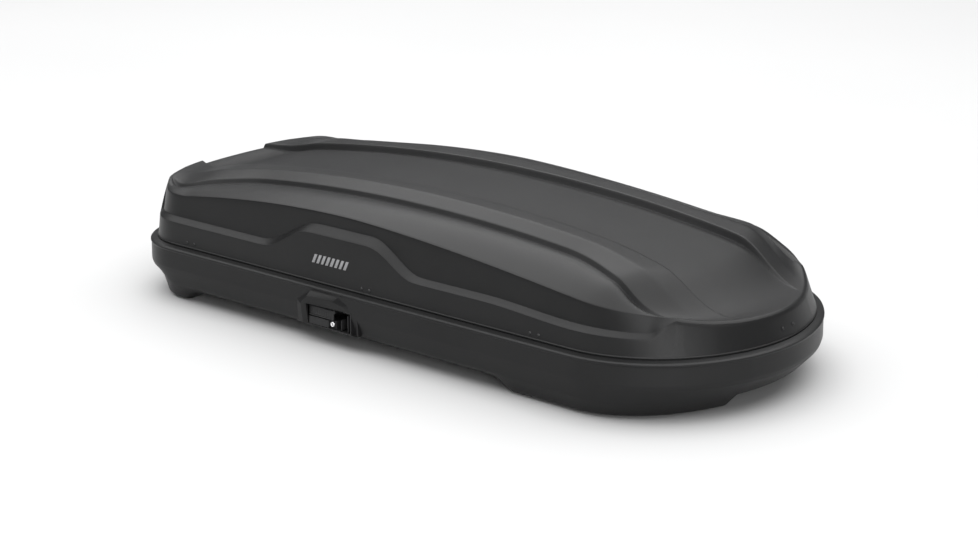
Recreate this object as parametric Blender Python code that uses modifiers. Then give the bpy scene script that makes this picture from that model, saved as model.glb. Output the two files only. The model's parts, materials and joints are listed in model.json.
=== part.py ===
"""A roof cargo box for a car, opening from either side. Metres; +X is the nose, +Y the left side, +Z up."""

import math

import bmesh
import bpy
from mathutils import Matrix, Vector

# Overall size, and the gap left between pieces that touch
LENGTH = 2.06
WIDTH = 0.894
RIM_Z = 0.165
SHEET = 0.004
GAP = 0.0003

# Plan outline: straight sides between a rear cap and a front cap, each a superellipse
REAR_CAP = 0.239
FRONT_CAP = 0.390
REAR_CAP_POWER = 2.4
FRONT_CAP_POWER = 1.95
SIDE_REAR_X = -LENGTH / 2 + REAR_CAP
SIDE_FRONT_X = LENGTH / 2 - FRONT_CAP

# Where the roof's four corners stand on the caps, as angles from the centre line
REAR_CORNER = math.radians(50)
FRONT_CORNER = math.radians(49)
SIDE_STATIONS = 15
REAR_ARC_STATIONS = 3
FRONT_ARC_STATIONS = 5

# Lid. An inset is a distance in from the plan outline; given as four numbers it is the side's, the rear's and
# the front's, and the share taken off a cap's reach halfway round its corner
LID_FOOT_INSET = 0.020
BAND_FOOT_INSET = 0.0235
BAND_TOP_INSET = 0.0305
ROOF_INSET = (0.046, 0.046, 0.046, 0.030)
LID_FOOT_Z = RIM_Z - 0.006
ROOF_PEAK_Z = RIM_Z + 0.250
SHOULDER_PEAK_Z = RIM_Z + 0.1993
NOSE_EDGE_Z = RIM_Z + 0.0755
REAR_EDGE_Z = RIM_Z + 0.168
PANEL_STEP = 0.020
NOSE_LEAN = math.atan2(ROOF_INSET[2] - LID_FOOT_INSET, NOSE_EDGE_Z - LID_FOOT_Z)

# The roof's lines: share of the half width, of the rear arc and of the front arc, and height over the crest
ROOF_LINES = (
    ("centre", 0.0, 0.0, 0.0, -PANEL_STEP),
    ("panel", 0.184, 0.14, 0.20, -PANEL_STEP),
    ("step_foot", 0.378, 0.29, 0.438, -PANEL_STEP),
    ("crest", 0.404, 0.31, 0.453, 0.0),
    ("crown", 0.542, 0.6, 0.68, 0.001),
    ("groove_top", 0.660, 0.9, 0.94, -0.016),
    ("groove_foot", 0.685, 0.94, 0.965, -0.029),
    ("shoulder", 1.0, 1.0, 1.0, None),
)

BADGE_X = (-0.242, -0.110)
BADGE_Z = (RIM_Z + 0.060, RIM_Z + 0.085)

# Tray
LIP_INSET = 0.0182
LIP_RISE = 0.0035
SKIRT_FOOT_Z = RIM_Z - 0.066
FLOOR_INSET = (0.058, 0.080, 0.125, 0.045)
BILGE_INSET = (0.034, 0.066, 0.085, 0.0)
BEND_INSET = (0.011, 0.060, 0.045, 0.0)
FLOOR_Z = 0.028
FRONT_WELL = (0.385, 0.435)
REAR_WELL = (-0.735, -0.765)
CHANNEL = (0.13, 0.17)

# Hinge rods, their brackets and clips
ROD_Y = 0.4128
ROD_Z = RIM_Z + 0.012
ROD_R = 0.004
BORE_R = ROD_R + GAP
ROD_X = (-0.757, 0.597)
BRACKET_X = {"rear": -0.725, "middle": -0.049, "front": 0.523}
BRACKET_LENGTH = 0.042
STRAP = 0.0027
CLIP_OFFSET_X = 0.060
CLIP_LENGTH = 0.024
CLIP_R = 0.0078
CLIP_ARM_Z = (RIM_Z - 0.060, RIM_Z - 0.0565)
CLIP_ARM_Y = 0.4422
STEM_Y = (0.3998, 0.4040)
RIVET_Z = RIM_Z + 0.0205
RIVET_PITCH = 0.028
RIVET_R = 0.0022
HEAD_R = 0.0050
NOSE_RIVET_Y = 0.024
NOSE_RIVET_Z = RIM_Z + 0.0325

# Latch bar, which slides beside the clips' stems so that they can't flex while it is locked
LATCH_Y = (0.3895, 0.3938)
LATCH_Z = (RIM_Z - 0.0077, RIM_Z + 0.0080)
LATCH_TRAVEL = 0.028
LATCH_TAB_X = (-0.200, -0.190)

# Handle and lock, in a housing let into each side of the tray
HOUSING_X = (-0.246, -0.084)
HOUSING_Z = (RIM_Z - 0.112, RIM_Z - 0.049)
HOUSING_FACE_Y = 0.4485
HOUSING_BACK_Y = 0.3840
HOUSING_WALL = 0.003
HANDLE_X = (-0.2405, -0.1500)
HANDLE_AXIS = (0.4420, RIM_Z - 0.0590)
HANDLE_DROP = 0.0240
PIN_R = 0.0018
LOCK_X = -0.157
LOCK_Z = RIM_Z - 0.0965
LOCK_R = 0.0072

# Clamps to the car's crossbars
CLAMP_X = {"rear": -0.42, "front": 0.25}
CLAMP_Y = 0.27
RAIL_X = (-0.62, 0.36)
RAIL_WIDTH = 0.052
RAIL_Z = (FLOOR_Z + SHEET + GAP, FLOOR_Z + SHEET + 0.004)
CLAW_WIDTH = 0.020
CLAW_LEG_X = (0.042, 0.049)
CLAW_Z = (0.004, 0.072)
CHEEK_THICK = 0.003
LEVER_Z = 0.086
LEVER_R = 0.009


def clear_scene():
    for obj in list(bpy.data.objects):
        bpy.data.objects.remove(obj, do_unlink=True)


def new_collection(name):
    collection = bpy.data.collections.new(name)
    bpy.context.scene.collection.children.link(collection)
    return collection


def make_material(name, colour, roughness, metallic=0.0):
    material = bpy.data.materials.new(name)
    material.use_nodes = True
    shader = material.node_tree.nodes["Principled BSDF"]
    shader.inputs["Base Color"].default_value = (*colour, 1.0)
    shader.inputs["Roughness"].default_value = roughness
    shader.inputs["Metallic"].default_value = metallic
    material.diffuse_color = (*colour, 1.0)
    return material


def make_materials():
    return {
        "shell": make_material("shell_plastic", (0.030, 0.030, 0.031), 0.52),
        "plastic": make_material("matte_plastic", (0.018, 0.018, 0.019), 0.60),
        "badge": make_material("badge_grey", (0.42, 0.42, 0.42), 0.40),
        "rubber": make_material("seal_rubber", (0.010, 0.010, 0.010), 0.85),
        "steel": make_material("zinc_steel", (0.55, 0.56, 0.57), 0.32, 1.0),
        "chrome": make_material("lock_chrome", (0.72, 0.72, 0.72), 0.15, 1.0),
    }


def add_object(name, mesh, material, location=(0, 0, 0)):
    """Puts a mesh into the box's collection, with its origin at location and its shape left where it is."""
    obj = bpy.data.objects.new(name, mesh)
    mesh.transform(Matrix.Translation(-Vector(location)))
    obj.location = location
    if material is not None:
        mesh.materials.append(material)
    PARTS.objects.link(obj)
    return obj


def mesh_from(bm, name):
    bmesh.ops.recalc_face_normals(bm, faces=bm.faces)
    if all(edge.is_manifold for edge in bm.edges) and bm.calc_volume(signed=True) < 0:
        bmesh.ops.reverse_faces(bm, faces=bm.faces)
    mesh = bpy.data.meshes.new(name)
    bm.to_mesh(mesh)
    bm.free()
    return mesh


def box_mesh(name, low, high):
    bm = bmesh.new()
    bmesh.ops.create_cube(bm, size=1.0)
    size = [high[i] - low[i] for i in range(3)]
    middle = [(high[i] + low[i]) / 2 for i in range(3)]
    bmesh.ops.scale(bm, vec=size, verts=bm.verts)
    bmesh.ops.translate(bm, vec=middle, verts=bm.verts)
    return mesh_from(bm, name)


def rod_mesh(name, start, end, radius, segments=16, end_radius=None):
    """A cylinder, or a cone when end_radius is given, between two points."""
    start, end = Vector(start), Vector(end)
    bm = bmesh.new()
    bmesh.ops.create_cone(
        bm,
        cap_ends=True,
        segments=segments,
        radius1=radius,
        radius2=radius if end_radius is None else end_radius,
        depth=(end - start).length,
    )
    turn = Vector((0, 0, 1)).rotation_difference(end - start).to_matrix().to_4x4()
    bm.transform(Matrix.Translation((start + end) / 2) @ turn)
    return mesh_from(bm, name)


def prism_mesh(name, points, along, low, high):
    """Extrudes a closed outline along an axis; its two numbers are the other two axes in order."""
    others = [axis for axis in range(3) if axis != along]
    bm = bmesh.new()
    corners = []
    for a, b in points:
        place = [0.0, 0.0, 0.0]
        place[others[0]], place[others[1]], place[along] = a, b, low
        corners.append(bm.verts.new(place))
    face = bm.faces.new(corners)
    made = bmesh.ops.extrude_face_region(bm, geom=[face])
    move = [0.0, 0.0, 0.0]
    move[along] = high - low
    new_verts = [item for item in made["geom"] if isinstance(item, bmesh.types.BMVert)]
    bmesh.ops.translate(bm, vec=move, verts=new_verts)
    return mesh_from(bm, name)


def arc(centre, radius, start, end, steps):
    """Points on an arc, with angles in degrees from the first axis."""
    angles = [math.radians(start + (end - start) * k / steps) for k in range(steps + 1)]
    return [(centre[0] + radius * math.cos(a), centre[1] + radius * math.sin(a)) for a in angles]


def boolean(obj, mesh, operation="DIFFERENCE"):
    """Cuts or joins a helper mesh, which is kept as a hidden object among the cutters."""
    helper = bpy.data.objects.new(f"{obj.name}_{operation.lower()}_{len(obj.modifiers)}", mesh)
    helper.hide_render = True
    helper.display_type = "WIRE"
    CUTTERS.objects.link(helper)
    modifier = obj.modifiers.new(helper.name, "BOOLEAN")
    modifier.operation = operation
    modifier.solver = "EXACT"
    modifier.object = helper
    return obj


def bevel(obj, width, segments=1, angle=40):
    modifier = obj.modifiers.new("soft_edges", "BEVEL")
    modifier.width = width
    modifier.segments = segments
    modifier.limit_method = "ANGLE"
    modifier.angle_limit = math.radians(angle)
    return obj


def smooth_step(value, low, high):
    share = min(max((value - low) / (high - low), 0.0), 1.0)
    return share * share * (3 - 2 * share)


# ---------------------------------------------------------------- plan outline


def four(inset):
    return inset if isinstance(inset, tuple) else (inset, inset, inset, 0.0)


def mix(low, high, share):
    """An inset part of the way from one to another."""
    return tuple(a + (b - a) * share for a, b in zip(four(low), four(high)))


def cap_point(front, angle, inset):
    """A point on the rear or front cap, on the right side; the angle starts at the centre line."""
    side, rear, nose, corner = four(inset)
    cap = FRONT_CAP - nose if front else REAR_CAP - rear
    power = 2 / (FRONT_CAP_POWER if front else REAR_CAP_POWER)
    cap *= 1 - corner * math.sin(2 * angle) ** 2
    half_width = (WIDTH / 2 - side) * (1 - corner * math.sin(2 * angle) ** 2)
    reach = cap * max(math.cos(angle), 0.0) ** power
    y = -half_width * max(math.sin(angle), 0.0) ** power
    return (SIDE_FRONT_X + reach, y) if front else (SIDE_REAR_X - reach, y)


def side_stations():
    """The right side from the roof's rear corner to its front corner, as functions of the inset."""
    rear_step = (math.pi / 2 - REAR_CORNER) / REAR_ARC_STATIONS
    front_step = (math.pi / 2 - FRONT_CORNER) / FRONT_ARC_STATIONS
    rear = [REAR_CORNER + rear_step * k for k in range(REAR_ARC_STATIONS)]
    front = [math.pi / 2 - front_step * k for k in range(1, FRONT_ARC_STATIONS + 1)]
    stations = [lambda inset, a=a: cap_point(False, a, inset) for a in rear]
    for k in range(SIDE_STATIONS + 1):
        x = SIDE_REAR_X + (SIDE_FRONT_X - SIDE_REAR_X) * k / SIDE_STATIONS
        stations.append(lambda inset, x=x: (x, -(WIDTH / 2 - four(inset)[0])))
    return stations + [lambda inset, a=a: cap_point(True, a, inset) for a in front]


def end_station(front, share):
    corner = FRONT_CORNER if front else REAR_CORNER
    return lambda inset: cap_point(front, corner * share, inset)


def mirrored(station):
    return lambda inset: (station(inset)[0], -station(inset)[1])


def outline_loop(lines):
    """Stations right round the plan, anticlockwise seen from above, starting at the right rear corner."""
    side = side_stations()
    shares = [line[3] for line in reversed(lines)][1:]
    front = [end_station(True, share) for share in shares]
    front += [mirrored(station) for station in reversed(front[:-1])]
    left = [mirrored(station) for station in reversed(side)]
    shares = [line[2] for line in reversed(lines)][1:]
    rear = [end_station(False, share) for share in shares]
    rear += [mirrored(station) for station in reversed(rear[:-1])]
    return side + front + left + list(reversed(rear))


# ---------------------------------------------------------------- sheet shells


def patch_grid(bm, lines, inset, height):
    """A grid over the plan, following the outline at its edges. Returns its rows, from right to left."""
    side = [station(inset) for station in side_stations()]
    columns = len(side) - 1
    full = [(-1, line) for line in reversed(lines)] + [(1, line) for line in lines[1:]]
    half_width = WIDTH / 2 - four(inset)[0]
    rows = []
    for sign, (name, share, rear_share, front_share, _) in full:
        rear = end_station(False, rear_share)(inset)
        front = end_station(True, front_share)(inset)
        row = []
        for k, (x, y) in enumerate(side):
            go = (x - side[0][0]) / (side[-1][0] - side[0][0])
            if name == lines[-1][0]:
                place = (x, y)
            else:
                to_front, to_rear = go**4, (1 - go) ** 6
                bulge = to_front * (front[0] - side[-1][0]) + to_rear * (rear[0] - side[0][0])
                middle_y = -share * half_width * min(1.0, abs(y) / half_width)
                near_front = smooth_step(go, 0.8, 1.0)
                near_rear = 1 - smooth_step(go, 0.0, 0.2)
                place_y = middle_y + near_front * (front[1] + share * abs(side[-1][1]))
                place_y += near_rear * (rear[1] + share * abs(side[0][1]))
                place = (x + bulge, place_y)
                if k == 0:
                    place = rear
                if k == columns:
                    place = front
            row.append(bm.verts.new((place[0], -sign * place[1], height(name, place[0], go))))
        rows.append(row)
    for below, above in zip(rows, rows[1:]):
        for k in range(columns):
            bm.faces.new((below[k], below[k + 1], above[k + 1], above[k]))
    return rows


def rim_of(rows):
    """The patch's boundary, in the order of outline_loop."""
    front = [row[-1] for row in rows[1:-1]]
    rear = [row[0] for row in reversed(rows[1:-1])]
    return rows[0] + front + list(reversed(rows[-1])) + rear


def add_ring(bm, loop, stations, inset_and_height):
    """Joins a new ring of points to the last one."""
    ring = []
    for k, station in enumerate(stations):
        inset, z = inset_and_height(k, station)
        ring.append(bm.verts.new((*station(inset), z)))
    for k in range(len(ring)):
        after = (k + 1) % len(ring)
        bm.faces.new((loop[k], loop[after], ring[after], ring[k]))
    return ring


def solid_sheet(obj):
    """Thickens an outer surface inwards."""
    modifier = obj.modifiers.new("sheet", "SOLIDIFY")
    modifier.thickness = SHEET
    modifier.offset = -1
    modifier.use_even_offset = True
    return obj


# ---------------------------------------------------------------- lid


def crest_z(x):
    ahead = max(x + 0.05, 0.0) / 1.03
    behind = max(-x - 0.05, 0.0) / 0.95
    return ROOF_PEAK_Z - 0.095 * ahead**2 - 0.078 * ahead**7 - 0.089 * behind**2


def shoulder_z(x):
    ahead = max(x + 0.15, 0.0) / 1.04
    behind = min(max(-x - 0.15, 0.0) / 0.75, 0.72)
    return SHOULDER_PEAK_Z - 0.1055 * ahead**1.5 - 0.075 * behind**2


def roof_height(name, x, go):
    """Height of a roof line, blended into the nose edge and the rear edge."""
    over = {line[0]: line[4] for line in ROOF_LINES}
    nose_corner = shoulder_z(cap_point(True, FRONT_CORNER, ROOF_INSET)[0])
    rear_corner = shoulder_z(cap_point(False, REAR_CORNER, ROOF_INSET)[0])
    if name == "shoulder":
        return shoulder_z(x)
    shares = {line[0]: (line[2], line[3]) for line in ROOF_LINES}
    nose_z = NOSE_EDGE_Z + (nose_corner - NOSE_EDGE_Z) * shares[name][1] ** 3
    rear_z = REAR_EDGE_Z + (rear_corner - REAR_EDGE_Z) * shares[name][0] ** 3
    to_nose = smooth_step(go, 0.90, 1.0)
    to_rear = 1 - smooth_step(go, 0.0, 0.10)
    z = crest_z(x) + over[name]
    return z + to_nose * (nose_z - z) + to_rear * (rear_z - z)


def band_bump(x, rise_from, rise_to, fall_from, fall_to):
    return smooth_step(x, rise_from, rise_to) - smooth_step(x, fall_from, fall_to)


def band_drop(x):
    return 0.015 * smooth_step(x, 0.35, 0.65)


def band_top_z(x):
    return RIM_Z + 0.0863 - band_drop(x) + 0.080 * band_bump(x, -0.447, -0.237, -0.037, 0.133)


def band_foot_z(x):
    return RIM_Z + 0.0703 - band_drop(x) + 0.064 * band_bump(x, -0.427, -0.267, -0.037, 0.113)


def lid_shell_mesh():
    bm = bmesh.new()
    rows = patch_grid(bm, ROOF_LINES, ROOF_INSET, roof_height)
    loop = rim_of(rows)
    edge_z = [vert.co.z for vert in loop]
    stations = outline_loop(ROOF_LINES)

    def pod_share(k):
        """One along the straight sides, falling to nothing at the four corners."""
        count = len(side_stations())
        half = k if k < count else k - count - (2 * len(ROOF_LINES) - 3)
        if not 0 <= half < count:
            return 0.0
        return min(1.0, half / REAR_ARC_STATIONS, (count - 1 - half) / REAR_ARC_STATIONS)

    def straight(k, share):
        return mix(ROOF_INSET, LID_FOOT_INSET, share), edge_z[k] + (LID_FOOT_Z - edge_z[k]) * share

    def band(height, inset, share):
        def at(k, station):
            plain_inset, plain_z = straight(k, share)
            part = pod_share(k)
            z = plain_z + part * (height(station(0)[0]) - plain_z)
            return mix(plain_inset, inset, part), z

        return at

    loop = add_ring(bm, loop, stations, band(band_top_z, BAND_TOP_INSET, 0.45))
    loop = add_ring(bm, loop, stations, band(band_foot_z, BAND_FOOT_INSET, 0.60))
    add_ring(bm, loop, stations, lambda k, station: (LID_FOOT_INSET, LID_FOOT_Z))
    return mesh_from(bm, "lid_shell")


def wall_y(x, z):
    """The lid's outer face on a straight side, between its foot and the band."""
    share = (z - LID_FOOT_Z) / (band_foot_z(x) - LID_FOOT_Z)
    return WIDTH / 2 - LID_FOOT_INSET + (LID_FOOT_INSET - BAND_FOOT_INSET) * share


def rivet_xs(x):
    return (x - RIVET_PITCH / 2, x + RIVET_PITCH / 2)


def rivet_hole(x, side):
    start, end = (x, side * (ROD_Y - 0.007), RIVET_Z), (x, side * (ROD_Y + 0.023), RIVET_Z)
    return rod_mesh("hole", start, end, RIVET_R + GAP, 8)


def nose_point(y, out):
    """A point on the nose wall at the height of its rivets, moved out along the wall's normal."""
    share = (NOSE_RIVET_Z - LID_FOOT_Z) / (NOSE_EDGE_Z - LID_FOOT_Z)
    x = LENGTH / 2 - LID_FOOT_INSET - (ROOF_INSET[2] - LID_FOOT_INSET) * share - 0.0018
    return (x + out * math.cos(NOSE_LEAN), y, NOSE_RIVET_Z + out * math.sin(NOSE_LEAN))


def make_lid(materials):
    obj = add_object("lid_shell", lid_shell_mesh(), materials["shell"])
    solid_sheet(obj)
    for side in (-1, 1):
        for x in BRACKET_X.values():
            for at in rivet_xs(x):
                boolean(obj, rivet_hole(at, side))
    for y in (-NOSE_RIVET_Y, NOSE_RIVET_Y):
        start, end = nose_point(y, -0.02), nose_point(y, 0.02)
        boolean(obj, rod_mesh("hole", start, end, RIVET_R + GAP, 8))
    return obj


# ---------------------------------------------------------------- tray

# The floor's lines leave the ends where the roof's lines do; the last number is the share of a well's depth
FLOOR_SHARES = (0.0, 0.17, CHANNEL[0] / 0.397, CHANNEL[1] / 0.397, 0.6, 0.78, 0.9, 1.0)
TRAY_LINES = tuple(
    (line[0], share, line[2], line[3], 0 if share < 0.35 else 1)
    for line, share in zip(ROOF_LINES, FLOOR_SHARES)
)


def floor_height(name, x, go):
    deep = {line[0]: line[4] for line in TRAY_LINES}[name]
    if x > 0:
        deep *= smooth_step(x, *FRONT_WELL)
    else:
        deep *= smooth_step(-x, -REAR_WELL[0], -REAR_WELL[1])
    return FLOOR_Z * (1 - deep)


def bend_z(x):
    """Where the tray's wall turns in towards its floor."""
    return RIM_Z - 0.109 + 0.029 * smooth_step(-x, 0.80, 0.93) - 0.006 * smooth_step(x, 0.50, 0.80)


def tray_mesh():
    bm = bmesh.new()
    rows = patch_grid(bm, TRAY_LINES, FLOOR_INSET, floor_height)
    loop = rim_of(rows)
    floor_z = [vert.co.z for vert in loop]
    stations = outline_loop(TRAY_LINES)
    rings = (
        lambda k, station: (BILGE_INSET, floor_z[k] + 0.010),
        lambda k, station: (BEND_INSET, bend_z(station(0)[0])),
        lambda k, station: ((0.0015, 0.004, 0.003, 0.0), SKIRT_FOOT_Z - 0.006),
        lambda k, station: (-0.0010, SKIRT_FOOT_Z + 0.006),
        lambda k, station: (0.0, RIM_Z - 0.003),
        lambda k, station: (0.0012, RIM_Z - 0.0008),
        lambda k, station: (LIP_INSET, RIM_Z + LIP_RISE),
    )
    for ring in rings:
        loop = add_ring(bm, loop, stations, ring)
    return mesh_from(bm, "base_tray")


def make_tray(materials):
    obj = add_object("base_tray", tray_mesh(), materials["shell"])
    solid_sheet(obj)
    for side in (-1, 1):
        xs = (HOUSING_X[0] - GAP, HOUSING_X[1] + GAP)
        zs = (HOUSING_Z[0] - GAP, HOUSING_Z[1] + GAP)
        boolean(obj, side_box("housing_opening", xs, (HOUSING_BACK_Y - 0.008, 0.460), zs, side))
        for x in CLAMP_X.values():
            for leg in (-1, 1):
                boolean(obj, claw_slot(x, side, leg))
    return obj


def claw_slot(x, side, leg):
    """The slot that one leg of a claw passes through, in the floor and in the rail."""
    middle = x + leg * sum(CLAW_LEG_X) / 2
    half = (CLAW_LEG_X[1] - CLAW_LEG_X[0]) / 2 + 0.001
    reach = CLAW_WIDTH / 2 + 0.001
    y = side * CLAMP_Y
    return box_mesh("slot", (middle - half, y - reach, 0.01), (middle + half, y + reach, 0.06))


def make_rim_seal(materials):
    """A rubber strip under the tray's lip, beside the lid's foot."""
    stations = outline_loop(ROOF_LINES)
    foot = RIM_Z - 0.014
    corners = [(0.0130, foot), (0.0130, RIM_Z - 0.0026), (0.0195, RIM_Z - 0.0013), (0.0195, foot)]
    bm = bmesh.new()
    first = [bm.verts.new((*station(corners[0][0]), corners[0][1])) for station in stations]
    loop = first
    for inset, z in corners[1:]:
        loop = add_ring(bm, loop, stations, lambda k, station, inset=inset, z=z: (inset, z))
    for k in range(len(first)):
        after = (k + 1) % len(first)
        bm.faces.new((loop[k], loop[after], first[after], first[k]))
    return add_object("rim_seal", mesh_from(bm, "rim_seal"), materials["rubber"])


def make_floor_rail(name, side, materials):
    """A steel strip on the floor that spreads the clamps' load."""
    y = side * CLAMP_Y
    low = (RAIL_X[0], y - RAIL_WIDTH / 2, RAIL_Z[0])
    high = (RAIL_X[1], y + RAIL_WIDTH / 2, RAIL_Z[1])
    obj = add_object(name, box_mesh(name, low, high), materials["steel"])
    for x in CLAMP_X.values():
        for leg in (-1, 1):
            boolean(obj, claw_slot(x, side, leg))
    return obj


# ---------------------------------------------------------------- hinges and latches


def mirror_outline(points, side):
    """Turns an outline, whose first number is the distance from the centre plane, to the given side."""
    return [(side * out, z) for out, z in points]


def make_hinge_rod(name, side, materials):
    mesh = rod_mesh(name, (ROD_X[0], side * ROD_Y, ROD_Z), (ROD_X[1], side * ROD_Y, ROD_Z), ROD_R)
    return add_object(name, mesh, materials["steel"], ((ROD_X[0] + ROD_X[1]) / 2, side * ROD_Y, ROD_Z))


def make_latch_clip(name, x, side, materials):
    """A sprung clip: an arm from the tray's wall, a stem, and a jaw open at the top that holds the rod."""
    foot_z, foot_top = CLIP_ARM_Z
    ledge_top, ledge_foot = LATCH_Z[0] - GAP, LATCH_Z[0] - 0.0040
    centre = (ROD_Y, ROD_Z)
    outline = [(STEM_Y[0], foot_z), (CLIP_ARM_Y, foot_z), (CLIP_ARM_Y, foot_top), (STEM_Y[1], foot_top)]
    outline += [(STEM_Y[1], ROD_Z - 0.0027)]
    outline += arc(centre, CLIP_R, 200, 410, 14)
    outline += arc(centre, BORE_R, 410, 130, 14)
    outline += arc(centre, CLIP_R, 130, 158, 2)
    outline += [(STEM_Y[1], ROD_Z + 0.0029), (STEM_Y[0], ROD_Z + 0.0029)]
    outline += [(STEM_Y[0], ledge_top), (LATCH_Y[0], ledge_top)]
    outline += [(LATCH_Y[0], ledge_foot), (STEM_Y[0], ledge_foot)]
    middle = x + CLIP_OFFSET_X
    half = CLIP_LENGTH / 2
    mesh = prism_mesh(name, mirror_outline(outline, side), 0, middle - half, middle + half)
    return add_object(name, mesh, materials["plastic"], (middle, side * ROD_Y, ROD_Z))


def make_lid_bracket(name, x, side, materials):
    """A strap riveted to the lid, rolled round the rod."""
    outer_r = BORE_R + STRAP
    centre = (ROD_Y, ROD_Z)
    outline = [(ROD_Y + outer_r, ROD_Z + 0.024)]
    outline += arc(centre, outer_r, 0, -285, 14)
    outline += arc(centre, BORE_R, -285, 0, 14)
    outline += [(ROD_Y + BORE_R, ROD_Z + 0.024)]
    half = BRACKET_LENGTH / 2
    mesh = prism_mesh(name, mirror_outline(outline, side), 0, x - half, x + half)
    obj = add_object(name, mesh, materials["steel"], (x, side * ROD_Y, ROD_Z))
    for at in rivet_xs(x):
        boolean(obj, rivet_hole(at, side))
    return obj


def make_rivet_pair(name, x, side, materials):
    """Two rivets on one backing plate, which lies on the bracket's inner face."""
    plate_y = (ROD_Y + BORE_R - GAP - 0.002, ROD_Y + BORE_R - GAP)
    plate = side_box(name, (x - 0.020, x + 0.020), plate_y, (RIVET_Z - 0.0035, RIVET_Z + 0.008), side)
    seat = wall_y(x, RIVET_Z) + 0.0006
    obj = add_object(name, plate, materials["plastic"], (x, side * seat, RIVET_Z))
    for at in rivet_xs(x):
        start = (at, side * (plate_y[0] + 0.001), RIVET_Z)
        boolean(obj, rod_mesh("shank", start, (at, side * (seat + 0.001), RIVET_Z), RIVET_R, 8), "UNION")
        base, crown = (at, side * seat, RIVET_Z), (at, side * (seat + 0.0022), RIVET_Z)
        boolean(obj, rod_mesh("head", base, crown, HEAD_R, 16, HEAD_R * 0.55), "UNION")
    return obj


def leaning_box(name, low, high):
    """A box given in the nose wall's own frame: out along the normal, across, and up the wall."""
    mesh = box_mesh(name, low, high)
    mesh.transform(Matrix.Translation(nose_point(0, 0)) @ Matrix.Rotation(-NOSE_LEAN, 4, "Y"))
    return mesh


def make_nose_guide(materials):
    """A plate inside the nose that keeps the lid in line with the tray."""
    mesh = leaning_box("nose_guide", (-0.0120, -0.040, -0.014), (-0.0095, 0.040, 0.014))
    obj = add_object("nose_guide", mesh, materials["steel"], nose_point(0, -0.0120))
    for y in (-NOSE_RIVET_Y, NOSE_RIVET_Y):
        boolean(obj, rod_mesh("hole", nose_point(y, -0.03), nose_point(y, 0.02), RIVET_R + GAP, 8))
    return obj


def make_nose_rivets(materials):
    mesh = leaning_box("nose_rivets", (-0.0143, -0.032, -0.006), (-0.0123, 0.032, 0.006))
    obj = add_object("nose_rivets", mesh, materials["plastic"], nose_point(0, 0))
    for y in (-NOSE_RIVET_Y, NOSE_RIVET_Y):
        boolean(obj, rod_mesh("shank", nose_point(y, -0.0135), nose_point(y, 0.0025), RIVET_R, 8), "UNION")
        head = rod_mesh("head", nose_point(y, 0.0012), nose_point(y, 0.0034), HEAD_R, 16, HEAD_R * 0.55)
        boolean(obj, head, "UNION")
    return obj


def make_latch_bar(name, side, materials):
    """A sliding bar with a pad beside each clip, and a tab that reaches down to the handle."""
    reach = CLIP_LENGTH / 2 + 0.001
    pads = [x + CLIP_OFFSET_X for x in BRACKET_X.values()]
    outline = [(pads[0] - reach, side * LATCH_Y[0]), (pads[-1] + reach, side * LATCH_Y[0])]
    for x in reversed(pads):
        outline += [(x + reach, side * (STEM_Y[0] - GAP)), (x - reach, side * (STEM_Y[0] - GAP))]
        if x != pads[0]:
            outline += [(x - reach, side * LATCH_Y[1])]
            outline += [(pads[pads.index(x) - 1] + reach, side * LATCH_Y[1])]
    mesh = prism_mesh(name, outline, 2, *LATCH_Z)
    obj = add_object(name, mesh, materials["steel"], (0, side * LATCH_Y[0], LATCH_Z[0]))
    low = (LATCH_TAB_X[0], min(side * y for y in LATCH_Y), RIM_Z - 0.060)
    high = (LATCH_TAB_X[1], max(side * y for y in LATCH_Y), LATCH_Z[0] + 0.002)
    return boolean(obj, box_mesh("tab", low, high), "UNION")


# ---------------------------------------------------------------- handle and lock


def side_box(name, xs, ys, zs, side):
    """A box on one side of the object, with ys measured from the centre plane."""
    low = (xs[0], min(side * ys[0], side * ys[1]), zs[0])
    high = (xs[1], max(side * ys[0], side * ys[1]), zs[1])
    return box_mesh(name, low, high)


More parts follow.
